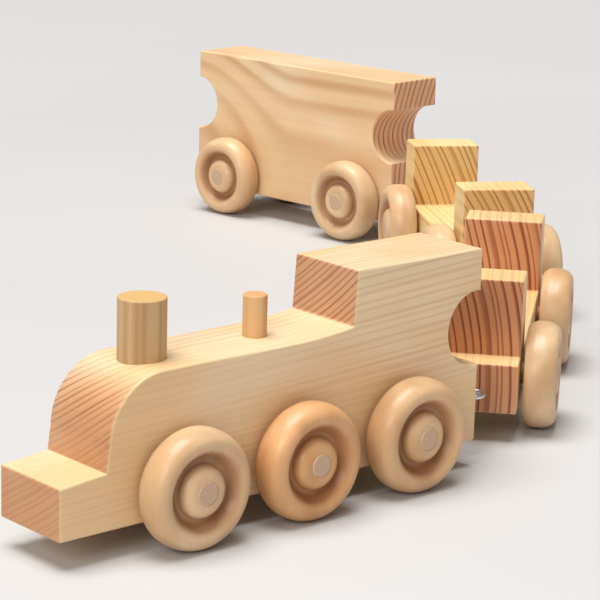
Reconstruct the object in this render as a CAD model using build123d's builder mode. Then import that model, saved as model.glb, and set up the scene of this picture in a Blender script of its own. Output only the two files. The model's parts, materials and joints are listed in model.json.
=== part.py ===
from build123d import *
from math import acos, cos, degrees, radians, sin
import os

# A wooden toy train: an engine, two gondolas and a boxcar, hooked together nose to tail.
# Each vehicle is sawn from one softwood blank and rolls on hardwood wheels glued to dowel axles.
# Every piece is drawn in its vehicle's own frame: X = 0 at the front face and growing to the
# rear, Y = 0 on the centre line with the left side at -Y, Z = 0 on the floor. It is then moved
# to where that vehicle stands in the train. The train's origin is the middle of its footprint.

# ---------------------------------------------------------------- driving dimensions, mm
STOCK = 38.0                # planed thickness of every body blank
EASE = 1.0                  # sanded rounding on the blanks' edges
GLUE_GAP = 0.05             # radial room for glue round a dowel that doesn't turn
RUNNING_GAP = 0.10          # radial room round an axle that turns in its body

# Turned wheels
WHEEL_RADIUS = 24.0
WHEEL_THICK = 14.5
WHEEL_TO_BODY = 2.0         # side gap between a wheel and the body
CREST_RADIUS = 18.8         # ring where the rounded rim stands highest
SHOULDER_WIDTH = 7.5        # how far down the tread the rim's rounding begins
BACK_DROP = 2.6             # how far the tread falls away on the body side
BACK_WIDTH = 5.0            # width of that inner rounding
CREST_ROUND = 4.0           # rounding from the crest into the groove
GROOVE_SLOPE = 55.0         # slope of the groove's outer wall, degrees
GROOVE_DEPTH = 5.6          # depth of the groove round the hub
GROOVE_ROUND = 2.0          # hollow at the foot of that wall
HUB_RADIUS = 10.8           # domed hub, at its foot
HUB_FOOT_ROUND = 0.9        # hollow between the groove and the hub
HUB_FLAT = 6.3              # radius of the small flat round the axle

# Dowel axles, glued into the wheels and turning in the bodies
AXLE_RADIUS = 4.75
AXLE_PROUD = 0.3            # how far an axle's end stands out of the hub
AXLE_EASE = 0.4

# Engine
ENGINE_LENGTH = 215.5
ENGINE_BASE = 11.6          # height of the underside
BUMPER_LENGTH = 21.2
BUMPER_TIP_TOP = 32.5       # the bumper's top rises a little towards the boiler
BUMPER_ROOT_TOP = 34.5
NOSE_RADIUS = 26.0          # big rounding of the boiler's nose
BOILER_START = 22.6         # X where the nose rounding begins
BOILER_TOP = 70.0
CAB_FOOT = 143.5            # X of the cab's front at the boiler
CAB_LEAN = 1.6              # how far the cab front leans back
CAB_TOP = 95.0
CAB_RAMP_START = 112.0      # X where the boiler's top begins to rise towards the cab
CAB_RAMP_RISE = 2.2
CAB_COVE = 1.5              # small hollow where the saw turned at the cab's foot
ENGINE_NOTCH_X = 213.5      # centre of the round bite behind the cab
ENGINE_NOTCH_Z = 61.0
ENGINE_AXLES = {"front": 56.6, "middle": 113.6, "rear": 172.0}

# Dowels standing on the boiler
SMOKESTACK_X = 51.7
SMOKESTACK_RADIUS = 9.55
SMOKESTACK_HEIGHT = 24.0
SMOKESTACK_DEPTH = 16.0     # glued length inside the boiler
DOME_X = 107.7
DOME_RADIUS = 4.9
DOME_HEIGHT = 17.0
DOME_DEPTH = 12.0
DOWEL_EASE = 0.7

# Gondolas: a plank bed with a standing block near each end
GONDOLA_LENGTH = 178.0
GONDOLA_BASE = 13.3
GONDOLA_BED = 35.6
GONDOLA_TOP = 70.0
GONDOLA_LEDGE = 15.0        # step outside each standing block
GONDOLA_BLOCK = 21.5        # thickness of a standing block
GONDOLA_AXLES = {"front": 31.0, "rear": 137.5}

# Boxcar: a tall block with a round bite at each end, under an overhanging roof
BOXCAR_LENGTH = 164.5
BOXCAR_BASE = 13.5
BOXCAR_TOP = 98.3
BOXCAR_NOTCH_Z = 65.6
BOXCAR_AXLES = {"front": 29.5, "rear": 130.0}

NOTCH_RADIUS = 16.0         # all the bites are made with one cutter

# Wire screw hook behind one vehicle, screw eye in front of the next
COUPLING_HEIGHT = 23.8
WIRE = 1.1                  # wire radius
HOOK_REACH = 16.5           # from the rear face to the wire that the eye hangs on
HOOK_BEND = 6.8             # mean radius of the hook's round bend
HOOK_CORNER = 2.2           # tight bend between the hook's shank and its round bend
HOOK_TIP_ANGLE = 65.0       # how far the tip leans back over the opening, degrees above level
EYE_RING = 5.0              # mean radius of the eye's ring
EYE_SLACK = 0.3             # free play between eye and hook
EYE_NECK = 1.8              # bare wire between the ring and the wood

# Screw threads of the hooks and eyes
SCREW_LENGTH = 14.0
SCREW_CREST = 1.5           # radius over the thread
SCREW_ROOT = 1.15           # radius between the threads
SCREW_PITCH = 1.4
SCREW_POINT = 2.8           # length of the tapered point
PILOT_GAP = 0.05            # the pilot hole's radius is this much wider than the thread's

# Bends at the couplings where the train stands, degrees; the train curves to its right
BEND_ENGINE = 39.6          # between the engine and the front gondola
BEND_GONDOLAS = 18.4        # between the gondolas
BEND_BOXCAR = 37.3          # between the rear gondola and the boxcar

SIDES = {"left": -1, "right": 1}


# ---------------------------------------------------------------- where each vehicle stands
ring_middle = EYE_NECK + WIRE + EYE_RING            # from the front face to the ring's centre
wire_spacing = 2 * WIRE + EYE_SLACK                 # hook wire to the ring's wire that it pulls
eye_reach = ring_middle + EYE_RING - wire_spacing   # from the hook wire to the front face


def vehicle_behind(leader, leader_length, bend):
    """The frame of the vehicle hooked behind a leader, turned by bend degrees at the hook."""
    pivot = leader * Location((leader_length + HOOK_REACH, 0, 0), (0, 0, bend))
    return pivot * Location((eye_reach, 0, 0))


engine_place = Location((0, 0, 0))
front_gondola_place = vehicle_behind(engine_place, ENGINE_LENGTH, BEND_ENGINE)
rear_gondola_place = vehicle_behind(front_gondola_place, GONDOLA_LENGTH, BEND_GONDOLAS)
boxcar_place = vehicle_behind(rear_gondola_place, GONDOLA_LENGTH, BEND_BOXCAR)


# ---------------------------------------------------------------- planes for drilling
def across_at(*stations, height=WHEEL_RADIUS):
    """Drilling planes across the body, one at each X."""
    return [Plane(origin=(x, 0, height), z_dir=(0, 1, 0)) for x in stations]


def front_pilot():
    return Plane(origin=(0, 0, COUPLING_HEIGHT), z_dir=(-1, 0, 0))


def rear_pilot(length):
    return Plane(origin=(length, 0, COUPLING_HEIGHT), z_dir=(1, 0, 0))


AXLE_BORE = AXLE_RADIUS + RUNNING_GAP
PILOT_RADIUS = SCREW_CREST + PILOT_GAP
PILOT_DEPTH = SCREW_LENGTH + PILOT_GAP

# ---------------------------------------------------------------- engine body and its dowels
with BuildPart() as engine_body:
    with BuildSketch(Plane.XZ):
        with BuildLine():
            nose_middle = (BOILER_START + NOSE_RADIUS, BOILER_TOP - NOSE_RADIUS)
            nose = CenterArc(nose_middle, NOSE_RADIUS, 90, 90)
            boiler_line = Line(nose @ 0, (CAB_RAMP_START, BOILER_TOP))
            cab_foot = (CAB_FOOT, BOILER_TOP + CAB_RAMP_RISE)
            TangentArc(boiler_line @ 1, cab_foot, tangent=boiler_line % 1)
            Polyline(
                cab_foot,
                (CAB_FOOT + CAB_LEAN, CAB_TOP),
                (ENGINE_LENGTH, CAB_TOP),
                (ENGINE_LENGTH, ENGINE_BASE),
                (0, ENGINE_BASE),
                (0, BUMPER_TIP_TOP),
                (BUMPER_LENGTH, BUMPER_ROOT_TOP),
                nose @ 1,
            )
        make_face()
    extrude(amount=STOCK / 2, both=True)
    cross_edges = engine_body.edges().filter_by(Axis.Y)
    cab_corner = cross_edges.filter_by_position(Axis.X, CAB_FOOT - EASE, CAB_FOOT + EASE)
    fillet(cab_corner, CAB_COVE)
    cross_edges = engine_body.edges().filter_by(Axis.Y)
    end_corners = cross_edges.group_by(Axis.X)[0] + cross_edges.group_by(Axis.X)[-1]
    cab_front_top = cross_edges.group_by(Axis.Z)[-1].sort_by(Axis.X)[0]
    fillet(end_corners + [cab_front_top], EASE)
    with Locations(*across_at(ENGINE_NOTCH_X, height=ENGINE_NOTCH_Z)):
        Hole(NOTCH_RADIUS)
    fillet(engine_body.faces().filter_by(Plane.XZ).edges(), EASE)
    with Locations(*across_at(*ENGINE_AXLES.values())):
        Hole(AXLE_BORE)
    with Locations(rear_pilot(ENGINE_LENGTH)):
        Hole(PILOT_RADIUS, PILOT_DEPTH)
    with Locations((SMOKESTACK_X, 0, BOILER_TOP)):
        Hole(SMOKESTACK_RADIUS + GLUE_GAP, SMOKESTACK_DEPTH)
    with Locations((DOME_X, 0, BOILER_TOP)):
        Hole(DOME_RADIUS + GLUE_GAP, DOME_DEPTH)

with BuildPart() as engine_smokestack:
    with BuildSketch(Plane.XY.offset(BOILER_TOP - SMOKESTACK_DEPTH)):
        with Locations((SMOKESTACK_X, 0)):
            Circle(SMOKESTACK_RADIUS)
    extrude(amount=SMOKESTACK_DEPTH + SMOKESTACK_HEIGHT)
    fillet(engine_smokestack.edges().group_by(Axis.Z)[-1], DOWEL_EASE)

with BuildPart() as engine_steam_dome:
    with BuildSketch(Plane.XY.offset(BOILER_TOP - DOME_DEPTH)):
        with Locations((DOME_X, 0)):
            Circle(DOME_RADIUS)
    extrude(amount=DOME_DEPTH + DOME_HEIGHT)
    fillet(engine_steam_dome.edges().group_by(Axis.Z)[-1], DOWEL_EASE)

# ---------------------------------------------------------------- gondola body
with BuildPart() as gondola_body:
    with BuildSketch(Plane.XZ):
        with Locations((0, GONDOLA_BASE)):
            Rectangle(GONDOLA_LENGTH, GONDOLA_BED - GONDOLA_BASE, align=Align.MIN)
        front_block_x = GONDOLA_LEDGE
        rear_block_x = GONDOLA_LENGTH - GONDOLA_LEDGE - GONDOLA_BLOCK
        with Locations((front_block_x, GONDOLA_BASE), (rear_block_x, GONDOLA_BASE)):
            Rectangle(GONDOLA_BLOCK, GONDOLA_TOP - GONDOLA_BASE, align=Align.MIN)
    extrude(amount=STOCK / 2, both=True)
    cross_edges = gondola_body.edges().filter_by(Axis.Y)
    end_corners = cross_edges.group_by(Axis.X)[0] + cross_edges.group_by(Axis.X)[-1]
    fillet(end_corners + cross_edges.group_by(Axis.Z)[-1], EASE)
    fillet(gondola_body.faces().filter_by(Plane.XZ).edges(), EASE)
    with Locations(*across_at(*GONDOLA_AXLES.values())):
        Hole(AXLE_BORE)
    with Locations(front_pilot(), rear_pilot(GONDOLA_LENGTH)):
        Hole(PILOT_RADIUS, PILOT_DEPTH)

# ---------------------------------------------------------------- boxcar body
with BuildPart() as boxcar_body:
    with BuildSketch(Plane.XZ):
        with Locations((0, BOXCAR_BASE)):
            Rectangle(BOXCAR_LENGTH, BOXCAR_TOP - BOXCAR_BASE, align=Align.MIN)
    extrude(amount=STOCK / 2, both=True)
    fillet(boxcar_body.edges().filter_by(Axis.Y), EASE)
    with Locations(*across_at(0, BOXCAR_LENGTH, height=BOXCAR_NOTCH_Z)):
        Hole(NOTCH_RADIUS)
    fillet(boxcar_body.faces().filter_by(Plane.XZ).edges(), EASE)
    with Locations(*across_at(*BOXCAR_AXLES.values())):
        Hole(AXLE_BORE)
    with Locations(front_pilot()):
        Hole(PILOT_RADIUS, PILOT_DEPTH)

# ---------------------------------------------------------------- one wheel and one axle, on Z
# The wheel lies body side down at Z = 0, with its rounded rim and domed hub on top.
groove_floor = WHEEL_THICK - GROOVE_DEPTH
wheel_bore = AXLE_RADIUS + GLUE_GAP
wall_turn = radians(GROOVE_SLOPE)
wall_height = GROOVE_DEPTH - (CREST_ROUND + GROOVE_ROUND) * (1 - cos(wall_turn))

with BuildPart() as wheel:
    with BuildSketch(Plane.XZ):
        with BuildLine():
            back_foot = (WHEEL_RADIUS - BACK_DROP, 0)
            tread_start = (WHEEL_RADIUS, BACK_WIDTH)
            tread_end = (WHEEL_RADIUS, WHEEL_THICK - SHOULDER_WIDTH)
            shoulder_middle = (CREST_RADIUS, WHEEL_THICK - SHOULDER_WIDTH)
            hub_middle = (HUB_FLAT, groove_floor)
            TangentArc(tread_start, back_foot, tangent=(0, -1))
            Line(tread_start, tread_end)
            EllipticalCenterArc(shoulder_middle, WHEEL_RADIUS - CREST_RADIUS, SHOULDER_WIDTH, 0, arc_size=90)
            roll = JernArc((CREST_RADIUS, WHEEL_THICK), (-1, 0), CREST_ROUND, GROOVE_SLOPE)
            wall = PolarLine(roll @ 1, wall_height / sin(wall_turn), direction=roll % 1)
            hollow = JernArc(wall @ 1, wall % 1, GROOVE_ROUND, -GROOVE_SLOPE)
            Line(hollow @ 1, (HUB_RADIUS, groove_floor))
            EllipticalCenterArc(hub_middle, HUB_RADIUS - HUB_FLAT, GROOVE_DEPTH, 0, arc_size=90)
            Polyline(
                (HUB_FLAT, WHEEL_THICK),
                (wheel_bore, WHEEL_THICK),
                (wheel_bore, 0),
                back_foot,
            )
        make_face()
    revolve(axis=Axis.Z)
    rings = wheel.edges().filter_by(GeomType.CIRCLE)
    hub_foot = rings.sort_by(lambda ring: abs(ring.radius - HUB_RADIUS))[0]
    fillet(hub_foot, HUB_FOOT_ROUND)

axle_length = STOCK + 2 * (WHEEL_TO_BODY + WHEEL_THICK + AXLE_PROUD)

with BuildPart() as axle:
    Cylinder(AXLE_RADIUS, axle_length)
    chamfer(axle.edges().filter_by(GeomType.CIRCLE), AXLE_EASE)

# ---------------------------------------------------------------- hook and eye
# Both are screwed along X. X = 0 is the face of the wood, and the wood is on the -X side.
thread_count = int((SCREW_LENGTH - SCREW_POINT) / SCREW_PITCH)
thread_outline = [(0, 0), (0, WIRE), (-PILOT_GAP, WIRE)]
for turn in range(thread_count):
    turn_start = -PILOT_GAP - turn * SCREW_PITCH
    thread_outline.append((turn_start - SCREW_PITCH * 0.25, SCREW_ROOT))
    thread_outline.append((turn_start - SCREW_PITCH * 0.75, SCREW_CREST))
thread_outline.append((-SCREW_LENGTH + SCREW_POINT, SCREW_ROOT))
thread_outline.append((-SCREW_LENGTH, 0))

# The tight corner turns the shank down until the round bend's middle lies level with the shank.
corner_turn = degrees(acos(HOOK_CORNER / (HOOK_CORNER + HOOK_BEND)))
corner_start = HOOK_REACH - HOOK_BEND - (HOOK_CORNER + HOOK_BEND) * sin(radians(corner_turn))
round_turn = 90 + corner_turn + HOOK_TIP_ANGLE

with BuildPart() as hook:
    with BuildSketch(Plane.XZ):
        with BuildLine():
            Polyline(*thread_outline, close=True)
        make_face()
    revolve(axis=Axis.X)
    with BuildLine(Plane.XZ) as hook_path:
        shank = Line((0, 0), (corner_start, 0))
        corner = JernArc(shank @ 1, shank % 1, HOOK_CORNER, -corner_turn)
        round_bend = JernArc(corner @ 1, corner % 1, HOOK_BEND, round_turn)
    with BuildSketch(Plane.YZ):
        Circle(WIRE)
    sweep(path=hook_path.wire())
    with Locations(round_bend @ 1):
        Sphere(WIRE)

# The eye's neck runs into the near side of its ring.
with BuildPart() as eye:
    with BuildSketch(Plane.XZ):
        with BuildLine():
            Polyline(*thread_outline, close=True)
        make_face()
    revolve(axis=Axis.X)
    with BuildSketch(Plane.YZ):
        Circle(WIRE)
    extrude(amount=EYE_NECK + WIRE)
    with Locations((ring_middle, 0, 0)):
        Torus(EYE_RING, WIRE)

# ---------------------------------------------------------------- standing the train together
pieces = {
    "engine_body": engine_body.part.moved(engine_place),
    "engine_smokestack": engine_smokestack.part.moved(engine_place),
    "engine_steam_dome": engine_steam_dome.part.moved(engine_place),
    "front_gondola_body": gondola_body.part.moved(front_gondola_place),
    "rear_gondola_body": gondola_body.part.moved(rear_gondola_place),
    "boxcar_body": boxcar_body.part.moved(boxcar_place),
}


def keep_wheelset(vehicle, place, end, x):
    """Keeps an axle and its two wheels, standing on the floor at X behind the front face."""
    centre = place * Location((x, 0, WHEEL_RADIUS))
    pieces[f"{vehicle}_axle_{end}"] = axle.part.moved(centre * Location((0, 0, 0), (90, 0, 0)))
    for side, way in SIDES.items():
        inner_face = Location((0, way * (STOCK / 2 + WHEEL_TO_BODY), 0), (-90 * way, 0, 0))
        pieces[f"{vehicle}_wheel_{end}_{side}"] = wheel.part.moved(centre * inner_face)


def keep_hook(vehicle, place, length):
    """Keeps the hook in a vehicle's rear end."""
    pieces[f"{vehicle}_hook"] = hook.part.moved(place * Location((length, 0, COUPLING_HEIGHT)))


def keep_eye(vehicle, place):
    """Keeps the eye in a vehicle's front end."""
    facing_front = Location((0, 0, COUPLING_HEIGHT), (0, 0, 180))
    pieces[f"{vehicle}_eye"] = eye.part.moved(place * facing_front)


for end, x in ENGINE_AXLES.items():
    keep_wheelset("engine", engine_place, end, x)
for vehicle, place in (("front_gondola", front_gondola_place), ("rear_gondola", rear_gondola_place)):
    for end, x in GONDOLA_AXLES.items():
        keep_wheelset(vehicle, place, end, x)
    keep_hook(vehicle, place, GONDOLA_LENGTH)
    keep_eye(vehicle, place)
for end, x in BOXCAR_AXLES.items():
    keep_wheelset("boxcar", boxcar_place, end, x)
keep_hook("engine", engine_place, ENGINE_LENGTH)
keep_eye("boxcar", boxcar_place)

# ---------------------------------------------------------------- origin and export
footprint = Compound(children=[Compound([piece]) for piece in pieces.values()]).bounding_box()
to_origin = Location((-footprint.center().X, -footprint.center().Y, -footprint.min.Z))

os.makedirs("parts", exist_ok=True)
for label, piece in pieces.items():
    placed = piece.moved(to_origin)
    placed.label = label
    export_step(placed, f"parts/{label}.step")
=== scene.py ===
import json
import math
from dataclasses import dataclass

import bpy
from mathutils import Matrix, Vector


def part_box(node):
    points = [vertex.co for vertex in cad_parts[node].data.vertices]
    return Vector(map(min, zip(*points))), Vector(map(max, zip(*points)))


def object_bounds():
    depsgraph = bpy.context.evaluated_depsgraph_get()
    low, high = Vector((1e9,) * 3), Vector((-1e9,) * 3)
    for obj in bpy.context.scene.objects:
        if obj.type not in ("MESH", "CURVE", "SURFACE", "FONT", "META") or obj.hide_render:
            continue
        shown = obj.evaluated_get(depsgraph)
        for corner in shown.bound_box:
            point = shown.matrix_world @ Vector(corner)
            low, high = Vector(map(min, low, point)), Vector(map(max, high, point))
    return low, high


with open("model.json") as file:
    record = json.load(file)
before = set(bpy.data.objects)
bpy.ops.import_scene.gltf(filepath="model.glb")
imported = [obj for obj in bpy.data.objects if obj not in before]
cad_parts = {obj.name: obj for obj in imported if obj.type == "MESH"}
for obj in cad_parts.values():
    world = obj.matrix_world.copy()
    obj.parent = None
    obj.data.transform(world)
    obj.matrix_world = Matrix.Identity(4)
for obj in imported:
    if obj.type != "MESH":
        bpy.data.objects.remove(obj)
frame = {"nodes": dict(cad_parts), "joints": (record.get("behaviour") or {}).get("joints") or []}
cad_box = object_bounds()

# A wooden toy train in a plain, pale studio. Every wood is a solid three-dimensional texture:
# growth rings round a pith outside the block, so that the end grain, the side grain and the
# round saw cuts of one block all agree. Lengths are in metres, as everywhere in the frame.
MM = 0.001
NODES = frame["nodes"]
JOINTS = {joint["name"]: joint for joint in frame["joints"]}

# Seeds, so that no two pieces of wood have the same pattern
BODY_SEED = 3.1
BODY_SEED_STEP = 7.7
WHEEL_SEED_STEP = 1.37
DOWEL_SEED = 17.0
METAL_SEED = 1.0

# How warm the wood of each wheelset is, 0 to 1
WHEEL_WARMTH = {"front": 0.2, "middle": 0.9, "rear": 0.45}

# The groove of a wheel, as shares of the wheel's radius
WHEEL_HUB = 0.45
WHEEL_CREST = 0.78

# Softwood patterns, in cycles per metre along the grain and twice across it
RING_DRIFT = (5.0, 22.0, 22.0)
SOFT_FIBRE = (14.0, 1100.0, 1100.0)
SOFT_STREAK = (3.0, 170.0, 170.0)
SOFT_PATCH = (9.0, 16.0, 16.0)
SOFT_PORES = (900.0, 1700.0, 1700.0)
LINE_FADE = (6.0, 30.0, 30.0)

# Hardwood patterns of the wheels, the same way, and the lathe's marks along the radius
WHEEL_FIGURE = (9.0, 60.0, 45.0)
WHEEL_BANDS = (14.0, 260.0, 200.0)
WHEEL_FIBRE = (70.0, 1500.0, 1500.0)
WHEEL_FLECKS = (260.0, 2600.0, 2600.0)
LATHE_MARKS = 2600.0

# Hardwood patterns of the dowels, along and across the dowel
DOWEL_ALONG = 10.0
DOWEL_ACROSS = 1000.0
DOWEL_BROAD = 0.22
DOWEL_PORES = (2300.0, 2300.0, 2300.0)
DOWEL_SWIRL = (160.0, 160.0, 160.0)
DOWEL_RINGS = 1.3 * MM

# The stretch behind the front axle, over which a swept pith moves sideways
SWEEP_START = 50 * MM
SWEEP_END = 136 * MM

# Camera: degrees, and metres from the floor point under the engine's front end
LENS = 142.37
SENSOR_WIDTH = 36.0
HEADING = -41.573
LOOK_DOWN = 14.012
ROLL = 1.615
CAMERA_PLACE = Vector((-0.4801, -0.6892, 0.3109))

# Studio
FLOOR_REACH = 12.0
KEY_PLACE = Vector((-0.3, 0.2, 2.4))
KEY_SPREAD = 38
KEY_POWER = 3.5
FILL_PLACE = Vector((-2.3, -1.2, 1.4))
FILL_SIZE = 1.3
FILL_POWER = 32
BACKDROP_GLOW = 0.30
BACKDROP_SEEN = 0.95


# ------------------------------------------------------------------ where things are
def vehicle_frame(vehicle):
    """The floor point under a vehicle's front axle, and its turn about Z. X then runs rearward,
    Y to the vehicle's right and Z up."""
    joint = JOINTS[vehicle + "_front_axle_spin"]
    origin = Vector((joint["pos_m"][0], joint["pos_m"][1], 0))
    turn = math.atan2(-joint["axis"][0], joint["axis"][1])
    return origin, turn


def axle_centre(vehicle, end):
    return Vector(JOINTS[f"{vehicle}_{end}_axle_spin"]["pos_m"])


def box_middle():
    return (cad_box[0] + cad_box[1]) / 2


def tone(red, green, blue):
    """A colour given as it looks on a screen, 0 to 255, as linear light."""
    linear = []
    for value in (red, green, blue):
        share = value / 255
        linear.append(share / 12.92 if share <= 0.04045 else ((share + 0.055) / 1.055) ** 2.4)
    return (*linear, 1)


# ------------------------------------------------------------------ shader building
class Shader:
    """One material, with short calls for the nodes used here. Each call gives an output socket."""

    def __init__(self, name):
        self.material = bpy.data.materials.new(name)
        self.material.use_nodes = True
        self.tree = self.material.node_tree
        self.tree.nodes.clear()

    def add(self, kind, inputs, output=0, **settings):
        node = self.tree.nodes.new(kind)
        for key, value in settings.items():
            setattr(node, key, value)
        for key, value in inputs.items():
            if isinstance(value, bpy.types.NodeSocket):
                self.tree.links.new(value, node.inputs[key])
            else:
                node.inputs[key].default_value = value
        return node.outputs[output] if node.outputs else None

    def math(self, operation, *values):
        return self.add("ShaderNodeMath", dict(enumerate(values)), operation=operation)

    def blend_in(self, value, factor, base):
        """base plus factor times value."""
        return self.math("MULTIPLY_ADD", value, factor, base)

    def vector(self, operation, *values, output=0):
        inputs = dict(enumerate(values))
        return self.add("ShaderNodeVectorMath", inputs, output=output, operation=operation)

    def scaled(self, vector, x, y, z):
        return self.vector("MULTIPLY", vector, (x, y, z))

    def split(self, vector):
        node = self.tree.nodes.new("ShaderNodeSeparateXYZ")
        self.tree.links.new(vector, node.inputs[0])
        return node.outputs[0], node.outputs[1], node.outputs[2]

    def join(self, x, y, z):
        return self.add("ShaderNodeCombineXYZ", {0: x, 1: y, 2: z})

    def ease(self, value, low, high, to_low=0.0, to_high=1.0):
        """A smooth step of value from low to high."""
        inputs = {"Value": value, "From Min": low, "From Max": high, "To Min": to_low, "To Max": to_high}
        return self.add("ShaderNodeMapRange", inputs, interpolation_type="SMOOTHSTEP")

    def noise(self, vector, scale=1.0, detail=2.0, roughness=0.5):
        inputs = {"Vector": vector, "Scale": scale, "Detail": detail, "Roughness": roughness}
        return self.add("ShaderNodeTexNoise", inputs)

    def pattern(self, point, cycles, shift=None, detail=2.0, roughness=0.5):
        """Noise with so many cycles per metre along x, y and z, moved by shift."""
        place = self.scaled(point, *cycles)
        if shift is not None:
            place = self.vector("ADD", place, shift)
        return self.noise(place, detail=detail, roughness=roughness)

    def noise_along(self, value, scale, detail=1.0):
        inputs = {"W": value, "Scale": scale, "Detail": detail}
        return self.add("ShaderNodeTexNoise", inputs, noise_dimensions="1D")

    def random(self, value):
        return self.add("ShaderNodeTexWhiteNoise", {"W": value}, noise_dimensions="1D")

    def mix(self, factor, first, second, blend="MIX"):
        inputs = {0: factor, 6: first, 7: second}
        return self.add("ShaderNodeMix", inputs, output=2, data_type="RGBA", blend_type=blend)

    def tinted(self, colour, tint):
        return self.mix(1.0, colour, tint, blend="MULTIPLY")

    def shade(self, colour, factor):
        """A colour made lighter or darker by a factor near 1."""
        return self.tinted(colour, self.join(factor, factor, factor))

    def vary(self, colour, value, swing):
        """A colour made darker and lighter as value goes from 0 to 1, by swing in all."""
        return self.shade(colour, self.blend_in(value, swing, 1.0 - swing / 2))

    def object_value(self, name, output=1):
        """A custom property of the object: output 1 is a vector, output 2 a number."""
        return self.add("ShaderNodeAttribute", {}, output, attribute_type="OBJECT", attribute_name=name)

    def seed_and_shift(self):
        """The object's seed, and the same as a vector."""
        seed = self.object_value("local_seed", 2)
        return seed, self.join(seed, seed, seed)

    def local_point(self):
        """The surface point in its vehicle's or wheel's own frame, still there when the body moves."""
        point = self.add("ShaderNodeTexCoord", {}, output=3)
        from_origin = self.vector("SUBTRACT", point, self.object_value("local_origin"))
        return self.turned(from_origin)

    def local_normal(self):
        return self.turned(self.add("ShaderNodeTexCoord", {}, output=1))

    def turned(self, vector):
        turn = self.math("MULTIPLY", self.object_value("local_turn", 2), -1.0)
        return self.rotated(vector, turn, "Z_AXIS")

    def rotated(self, vector, angle, axis):
        inputs = {"Vector": vector, "Angle": angle}
        return self.add("ShaderNodeVectorRotate", inputs, rotation_type=axis)

    def facing(self, normal, axis, low, high):
        """1 where the surface faces along the axis, 0 where it lies along it."""
        return self.ease(self.math("ABSOLUTE", self.split(normal)[axis]), low, high)

    def edge(self, radius):
        """1 on rounded and sharp edges, 0 on flats."""
        rounded = self.add("ShaderNodeBevel", {"Radius": radius}, samples=4)
        flat = self.add("ShaderNodeNewGeometry", {}, output=1)
        alike = self.vector("DOT_PRODUCT", rounded, flat, output=1)
        return self.ease(alike, 1.0, 0.9)

    def finish(self, colour, roughness, height, depth, **principled):
        """Wires the surface. height, 0 to 1, stands for depth metres of relief."""
        bump = self.add("ShaderNodeBump", {"Height": height, "Distance": depth, "Strength": 1.0})
        inputs = {"Base Color": colour, "Roughness": roughness, "Normal": bump}
        inputs.update(principled)
        surface = self.add("ShaderNodeBsdfPrincipled", inputs)
        self.add("ShaderNodeOutputMaterial", {"Surface": surface})
        return self.material


def place_locally(obj, origin, turn, seed, warmth=0.5):
    """Gives an object the origin and turn that its material works in, a seed of its own, and how
    warm its wood is, 0 to 1."""
    obj["local_origin"] = list(origin)
    obj["local_turn"] = float(turn)
    obj["local_seed"] = float(seed)
    obj["local_warmth"] = float(warmth)


def dress(obj, material):
    obj.data.materials.clear()
    obj.data.materials.append(material)


# ------------------------------------------------------------------ softwood of the blocks
@dataclass
class Cut:
    """Where a block lay in the tree. pith is (y, z) of the pith under the front axle and lean its
    drift in y and z per metre rearward. rings is the growth ring spacing. wander bends the rings,
    and uneven makes them wider and narrower. sweep pulls the pith sideways towards the block's
    rear, which spreads the rings into broad slanting bands on a flat-sawn side."""
    pith: tuple
    lean: tuple
    rings: float
    wander: float = 1.5 * MM
    uneven: float = 1.1
    sweep: float = 0.0


@dataclass
class Tones:
    """The colours of earlywood and latewood along the grain, then of both on end grain."""
    early_side: tuple
    late_side: tuple
    early_end: tuple
    late_end: tuple


def from_pith(s, point, cut):
    """The vector from the pith to the point, square to the grain."""
    along, across, up = s.split(point)
    swept = s.math("MULTIPLY", s.ease(along, SWEEP_START, SWEEP_END), cut.sweep)
    pith_y = s.math("ADD", s.blend_in(along, cut.lean[0], cut.pith[0]), swept)
    pith_z = s.blend_in(along, cut.lean[1], cut.pith[1])
    out_y = s.math("SUBTRACT", across, pith_y)
    out_z = s.math("SUBTRACT", up, pith_z)
    return s.join(0.0, out_y, out_z)


def growth_rings(s, point, outward, cut):
    """How far a ring has grown at the point, 0 to 1, and a random number for each ring."""
    seed, shift = s.seed_and_shift()
    drift = s.pattern(point, RING_DRIFT, shift, detail=1.0)
    radius = s.vector("LENGTH", outward, output=1)
    radius = s.blend_in(s.math("SUBTRACT", drift, 0.5), 2 * cut.wander, radius)
    count = s.math("DIVIDE", radius, cut.rings)
    width_noise = s.noise_along(s.math("ADD", count, seed), 0.6)
    count = s.blend_in(width_noise, cut.uneven, count)
    ring_random = s.random(s.math("ADD", s.math("FLOOR", count), seed))
    return s.math("FRACT", count), ring_random


def sharp_latewood(s, grown, ring_random):
    """Latewood as it shows on quarter-sawn sides and ends: slow to darken, then a sharp stop."""
    late_start = s.blend_in(ring_random, 0.25, 0.30)
    late = s.math("POWER", s.ease(grown, late_start, 0.86), 1.4)
    late = s.math("MULTIPLY", late, s.ease(grown, 0.93, 1.0, 1.0, 0.0))
    return s.math("MULTIPLY", late, s.blend_in(ring_random, 0.45, 0.62))


def soft_latewood(s, grown, ring_random):
    """Latewood as it shows on flat-sawn sides: a broad, soft band."""
    late = s.math("MULTIPLY", s.ease(grown, 0.25, 0.72), s.ease(grown, 0.72, 1.0, 1.0, 0.0))
    return s.math("MULTIPLY", late, s.blend_in(ring_random, 0.4, 0.75))


def side_latewood(s, point, outward, grown, ring_random, sharp, line):
    """Latewood on the long faces, soft where the face is flat-sawn and faint in places."""
    shift = s.seed_and_shift()[1]
    facing_pith = s.vector("DOT_PRODUCT", s.vector("NORMALIZE", outward), s.local_normal(), output=1)
    flat_sawn = s.ease(s.math("ABSOLUTE", facing_pith), 0.65, 0.95)
    soft = soft_latewood(s, grown, ring_random)
    late = s.blend_in(s.math("SUBTRACT", soft, sharp), flat_sawn, sharp)
    fade = s.pattern(point, LINE_FADE, shift, detail=1.0)
    return s.math("MULTIPLY", late, s.ease(fade, 0.30, 0.62, 0.4 * line, line))


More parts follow.
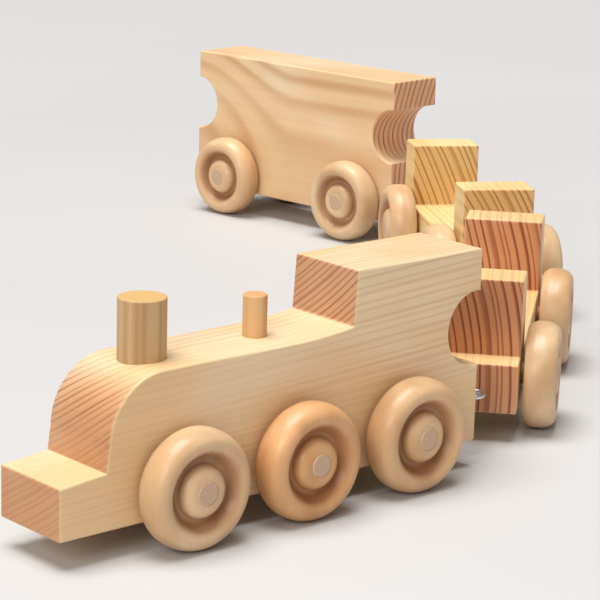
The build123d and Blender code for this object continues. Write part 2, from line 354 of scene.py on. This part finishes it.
def aged_with_edge_highlight(s, colour, patch, edge):
    """Warmer in patches, and paler on the edges: partly sanded wear, partly a painted highlight."""
    colour = s.vary(colour, patch, 0.20)
    amber = s.tinted(colour, tone(255, 242, 226))
    colour = s.mix(s.ease(patch, 0.62, 0.42), colour, amber)
    # Painted highlight, partly also sanded wear: the edges are mixed towards a pale cream.
    edge_wear_and_highlight = s.mix(0.5, colour, tone(255, 232, 190))
    return s.mix(s.math("MULTIPLY", edge, 0.35), colour, edge_wear_and_highlight)


def pine(name, cut, tones, line=0.55, calm=0.0):
    """Planed softwood. line is the strength of the lines on the long faces; they fade below the
    height calm."""
    s = Shader(name)
    point = s.local_point()
    outward = from_pith(s, point, cut)
    grown, ring_random = growth_rings(s, point, outward, cut)
    late = sharp_latewood(s, grown, ring_random)
    endness = s.facing(s.local_normal(), 0, 0.25, 0.95)
    shift = s.seed_and_shift()[1]
    fibre = s.pattern(point, SOFT_FIBRE, roughness=0.6)
    streak = s.pattern(point, SOFT_STREAK)
    patch = s.pattern(point, SOFT_PATCH, shift)
    pores = s.pattern(point, SOFT_PORES, detail=1.0)
    calmness = s.ease(s.split(point)[2], calm - 12 * MM, calm + 16 * MM, 0.4, 1.0)
    edge = s.edge(1.3 * MM)

    side_late = side_latewood(s, point, outward, grown, ring_random, late, line)
    side = s.mix(s.math("MULTIPLY", side_late, calmness), tones.early_side, tones.late_side)
    side = s.vary(s.vary(side, fibre, 0.16), streak, 0.14)
    end = s.mix(s.math("MULTIPLY", late, calmness), tones.early_end, tones.late_end)
    end = s.vary(end, pores, 0.30)
    colour = aged_with_edge_highlight(s, s.mix(endness, side, end), patch, edge)

    height = s.blend_in(late, 0.45, s.math("MULTIPLY", fibre, 0.35))
    height = s.blend_in(s.math("MULTIPLY", pores, endness), 0.35, height)
    rough = s.blend_in(endness, 0.14, 0.40)
    rough = s.blend_in(late, -0.08, rough)
    rough = s.blend_in(fibre, 0.10, rough)
    rough = s.blend_in(edge, -0.06, rough)
    return s.finish(colour, rough, height, 0.05 * MM, **{"Specular IOR Level": 0.42, "Coat Weight": 0.08})


# ------------------------------------------------------------------ hardwood of wheels and dowels
def groove_depth(s, radius, hub, crest):
    """1 in the bottom of a wheel's groove between the radii hub and crest, 0 outside it."""
    bottom = hub + 0.2 * (crest - hub)
    inner = s.ease(radius, hub - 1.5 * MM, bottom)
    outer = s.ease(radius, bottom + 1.5 * MM, crest - 0.5 * MM, 1.0, 0.0)
    return s.math("MULTIPLY", inner, outer)


def birch_colour(s, spun, shift, fibre):
    """Pale to warm birch, by the object's warmth, with figure, bands, fibres and flecks."""
    figure = s.pattern(spun, WHEEL_FIGURE, shift)
    bands = s.pattern(spun, WHEEL_BANDS, shift)
    flecks = s.pattern(spun, WHEEL_FLECKS, shift, detail=1.0)
    warm = s.object_value("local_warmth", 2)
    pale = s.mix(warm, tone(232, 204, 164), tone(222, 168, 114))
    deep = s.mix(warm, tone(208, 172, 130), tone(196, 136, 84))
    colour = s.mix(s.ease(figure, 0.3, 0.7), pale, deep)
    colour = s.vary(s.vary(colour, bands, 0.14), fibre, 0.14)
    return s.shade(colour, s.ease(flecks, 0.66, 0.74, 1.0, 0.93))


def turned_hardwood(name, hub, crest):
    """Satin turned hardwood for a wheel on Y. Its fibres run across the wheel, each wheel its own
    way. Between the radii hub and crest lies the groove, whose colour is darkened to brown as painted
    shade."""
    s = Shader(name)
    point = s.local_point()
    seed, shift = s.seed_and_shift()
    grain_turn = s.math("MULTIPLY", seed, 2.4)
    spun = s.rotated(point, grain_turn, "Y_AXIS")
    normal = s.rotated(s.local_normal(), grain_turn, "Y_AXIS")
    fibre = s.pattern(spun, WHEEL_FIBRE, shift)
    endness = s.facing(normal, 0, 0.55, 1.0)
    radius = s.vector("LENGTH", s.scaled(point, 1.0, 0.0, 1.0), output=1)
    lathe = s.noise_along(radius, LATHE_MARKS, detail=2.0)
    in_groove = groove_depth(s, radius, hub, crest)

    colour = birch_colour(s, spun, shift, fibre)
    colour = s.shade(colour, s.blend_in(endness, -0.10, 1.0))
    # Painted shade: the groove's colour is tinted brown, standing in for the shadow of the rim and hub in
    # it.
    painted_groove_shade = s.tinted(colour, tone(188, 156, 132))
    colour = s.mix(s.math("MULTIPLY", in_groove, 0.8), colour, painted_groove_shade)
    height = s.blend_in(lathe, 0.5, s.math("MULTIPLY", fibre, 0.35))
    rough = s.blend_in(in_groove, 0.10, s.blend_in(fibre, 0.12, 0.34))
    return s.finish(colour, rough, height, 0.03 * MM, **{"Specular IOR Level": 0.45, "Coat Weight": 0.10})


def dowel_rings(s, point, seed, direction):
    """Latewood rings on a dowel's end, round a pith a little off its centre."""
    flat = [1.0, 1.0, 1.0]
    flat[direction] = 0.0
    off_centre = s.blend_in(s.random(seed), 5 * MM, 1.5 * MM)
    cut = s.vector("ADD", s.scaled(point, *flat), s.join(off_centre, off_centre, off_centre))
    pith_distance = s.vector("LENGTH", s.scaled(cut, *flat), output=1)
    swirl = s.blend_in(s.pattern(point, DOWEL_SWIRL), 1.5 * MM, pith_distance)
    ring = s.math("FRACT", s.math("DIVIDE", swirl, DOWEL_RINGS))
    return s.math("MULTIPLY", s.ease(ring, 0.3, 0.9), s.ease(ring, 0.92, 1.0, 1.0, 0.0))


def dowel_wood(name, direction, tones):
    """Sanded hardwood dowel. direction is 1 for an axle along Y and 2 for a dowel along Z."""
    s = Shader(name)
    point = s.local_point()
    seed, shift = s.seed_and_shift()
    cycles = [DOWEL_ACROSS, DOWEL_ACROSS, DOWEL_ACROSS]
    cycles[direction] = DOWEL_ALONG
    fibre = s.pattern(point, cycles, shift)
    broad = s.pattern(point, [DOWEL_BROAD * share for share in cycles], shift)
    pores = s.pattern(point, DOWEL_PORES, detail=1.0)
    late = dowel_rings(s, point, seed, direction)
    endness = s.facing(s.local_normal(), direction, 0.6, 0.95)

    side = s.mix(s.ease(broad, 0.35, 0.75), tones.early_side, tones.late_side)
    side = s.vary(side, fibre, 0.14)
    end = s.mix(s.math("MULTIPLY", late, 0.3), tones.early_end, tones.late_end)
    end = s.vary(end, pores, 0.20)
    height = s.blend_in(pores, 0.3, fibre)
    rough = s.blend_in(endness, 0.14, s.blend_in(fibre, 0.14, 0.42))
    return s.finish(s.mix(endness, side, end), rough, height, 0.03 * MM, **{"Specular IOR Level": 0.4})


# ------------------------------------------------------------------ metal
def zinc_wire():
    """Bright zinc-plated wire, a little cloudy, with drawn scratches."""
    s = Shader("zinc_wire")
    point = s.local_point()
    cloud = s.noise(point, 420.0, detail=3.0)
    scratch = s.pattern(point, (900.0, 6000.0, 6000.0))
    colour = s.mix(cloud, tone(236, 238, 244), tone(212, 215, 222))
    rough = s.blend_in(scratch, 0.08, s.blend_in(cloud, 0.16, 0.16))
    return s.finish(colour, rough, scratch, 0.01 * MM, Metallic=1.0)


# ------------------------------------------------------------------ each block's own wood
def engine_pine():
    """Fine rings from a pith far above, with calm wood low down."""
    cut = Cut(pith=(150 * MM, 262 * MM), lean=(0.02, 0.03), rings=2.5 * MM, wander=1.0 * MM)
    tones = Tones(tone(234, 208, 168), tone(204, 160, 120), tone(200, 154, 116), tone(154, 102, 70))
    return pine("engine_pine", cut, tones, line=0.52, calm=46 * MM)


def front_gondola_pine():
    """Bold end grain, nearly upright rings."""
    cut = Cut(pith=(150 * MM, 20 * MM), lean=(0.04, 0.0), rings=3.5 * MM)
    tones = Tones(tone(240, 210, 158), tone(214, 158, 98), tone(210, 152, 110), tone(140, 74, 46))
    return pine("front_gondola_pine", cut, tones)


def rear_gondola_pine():
    """Yellower wood, its pith below the floor."""
    cut = Cut(pith=(165 * MM, -25 * MM), lean=(0.03, 0.05), rings=3.6 * MM)
    tones = Tones(tone(242, 216, 156), tone(216, 170, 100), tone(230, 190, 126), tone(174, 118, 64))
    return pine("rear_gondola_pine", cut, tones)


def boxcar_pine():
    """A flat-sawn side with one broad slanting band."""
    cut = Cut(pith=(-150.9 * MM, 34 * MM), lean=(0.0, 0.0), rings=4.2 * MM,
              wander=0.4 * MM, uneven=0.1, sweep=8.6 * MM)
    tones = Tones(tone(240, 213, 174), tone(206, 158, 114), tone(240, 194, 156), tone(170, 108, 78))
    return pine("boxcar_pine", cut, tones, line=0.64)


# ------------------------------------------------------------------ dressing the frame
def dress_vehicles():
    """Each block in its own cut of softwood, as the four really differ."""
    woods = {
        "engine": engine_pine(),
        "front_gondola": front_gondola_pine(),
        "rear_gondola": rear_gondola_pine(),
        "boxcar": boxcar_pine(),
    }
    for index, (vehicle, wood) in enumerate(woods.items()):
        body = NODES[vehicle + "_body"]
        place_locally(body, *vehicle_frame(vehicle), BODY_SEED + BODY_SEED_STEP * index)
        dress(body, wood)


def wheel_birch():
    low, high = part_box("engine_wheel_front_left")
    wheel_radius = (high.x - low.x) / 2
    return turned_hardwood("wheel_birch", WHEEL_HUB * wheel_radius, WHEEL_CREST * wheel_radius)


def axle_birch():
    tones = Tones(tone(222, 190, 146), tone(206, 166, 118), tone(204, 172, 144), tone(180, 146, 118))
    return dowel_wood("axle_birch", 1, tones)


def dress_wheelsets():
    woods = {"_wheel_": wheel_birch(), "_axle_": axle_birch()}
    seed = 0.0
    for name in sorted(NODES):
        for kind, wood in woods.items():
            if kind not in name:
                continue
            vehicle, place = name.split(kind)
            end = place.split("_")[0]
            seed += WHEEL_SEED_STEP
            turn = vehicle_frame(vehicle)[1]
            place_locally(NODES[name], axle_centre(vehicle, end), turn, seed, WHEEL_WARMTH[end])
            dress(NODES[name], wood)


def dress_boiler_dowels():
    stack = Tones(tone(204, 170, 122), tone(170, 130, 86), tone(212, 172, 112), tone(192, 150, 92))
    dome = Tones(tone(224, 180, 128), tone(204, 154, 102), tone(216, 164, 108), tone(198, 144, 90))
    for name, tones in (("engine_smokestack", stack), ("engine_steam_dome", dome)):
        low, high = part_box(name)
        place_locally(NODES[name], (low + high) / 2, 0.0, DOWEL_SEED)
        dress(NODES[name], dowel_wood(name + "_birch", 2, tones))


def dress_hardware():
    metal = zinc_wire()
    for name, node in NODES.items():
        if name.endswith("_hook") or name.endswith("_eye"):
            vehicle = name.rsplit("_", 1)[0]
            place_locally(node, *vehicle_frame(vehicle), METAL_SEED)
            dress(node, metal)


# ------------------------------------------------------------------ studio
def floor_paint():
    """Plain and pale, with the faintest mottling."""
    s = Shader("studio_floor")
    point = s.add("ShaderNodeTexCoord", {}, output=3)
    mottle = s.noise(point, 3.0, detail=3.0)
    grain = s.noise(point, 900.0, detail=1.0)
    colour = s.mix(mottle, tone(196, 195, 195), tone(203, 202, 202))
    return s.finish(colour, s.blend_in(mottle, 0.1, 0.55), grain, 0.01 * MM)


def floor():
    middle = box_middle()
    corners = []
    for x, y in ((-1, -1), (1, -1), (1, 1), (-1, 1)):
        corners.append((middle.x + x * FLOOR_REACH, middle.y + y * FLOOR_REACH, 0))
    mesh = bpy.data.meshes.new("studio_floor")
    mesh.from_pydata(corners, [], [(0, 1, 2, 3)])
    obj = bpy.data.objects.new("studio_floor", mesh)
    bpy.context.scene.collection.objects.link(obj)
    obj.data.materials.append(floor_paint())


def light(kind, name, place, power, colour, **settings):
    """A light at a place given from the train's middle, which it points at."""
    data = bpy.data.lights.new(name, kind)
    data.energy = power
    data.color = colour
    for key, value in settings.items():
        setattr(data, key, value)
    obj = bpy.data.objects.new(name, data)
    bpy.context.scene.collection.objects.link(obj)
    obj.location = box_middle() + place
    obj.rotation_euler = (-place).to_track_quat("-Z", "Y").to_euler()


def backdrop():
    """A pale backdrop that gives only a little light of its own."""
    world = bpy.data.worlds.new("studio_world")
    world.use_nodes = True
    tree = world.node_tree
    background = tree.nodes["Background"]
    background.inputs["Color"].default_value = tone(232, 231, 230)
    rays = tree.nodes.new("ShaderNodeLightPath")
    strength = tree.nodes.new("ShaderNodeMapRange")
    strength.inputs["To Min"].default_value = BACKDROP_GLOW
    strength.inputs["To Max"].default_value = BACKDROP_SEEN
    tree.links.new(rays.outputs["Is Camera Ray"], strength.inputs["Value"])
    tree.links.new(strength.outputs["Result"], background.inputs["Strength"])
    bpy.context.scene.world = world


def lights():
    """A wide soft key from overhead that reaches the whole floor, and a weak softbox from the
    front left."""
    light("SUN", "key", KEY_PLACE, KEY_POWER, (1.0, 0.985, 0.965), angle=math.radians(KEY_SPREAD))
    light("AREA", "fill", FILL_PLACE, FILL_POWER, (1.0, 0.98, 0.96), shape="SQUARE", size=FILL_SIZE)


def camera():
    """A long lens from the engine's front left, a little above."""
    low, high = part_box("engine_body")
    front = Vector((low.x, (low.y + high.y) / 2, 0))
    data = bpy.data.cameras.new("camera")
    data.sensor_width = SENSOR_WIDTH
    data.lens = LENS
    data.clip_end = 100.0
    obj = bpy.data.objects.new("camera", data)
    bpy.context.scene.collection.objects.link(obj)
    heading = Matrix.Rotation(math.radians(HEADING), 4, "Z")
    pitch = Matrix.Rotation(math.radians(90 - LOOK_DOWN), 4, "X")
    roll = Matrix.Rotation(math.radians(ROLL), 4, "Z")
    place = Matrix.Translation(front + CAMERA_PLACE)
    obj.matrix_world = place @ heading @ pitch @ roll
    bpy.context.scene.camera = obj


dress_vehicles()
dress_wheelsets()
dress_boiler_dowels()
dress_hardware()
floor()
lights()
backdrop()
camera()
bpy.context.scene.view_settings.view_transform = "Standard"

bpy.context.view_layer.update()
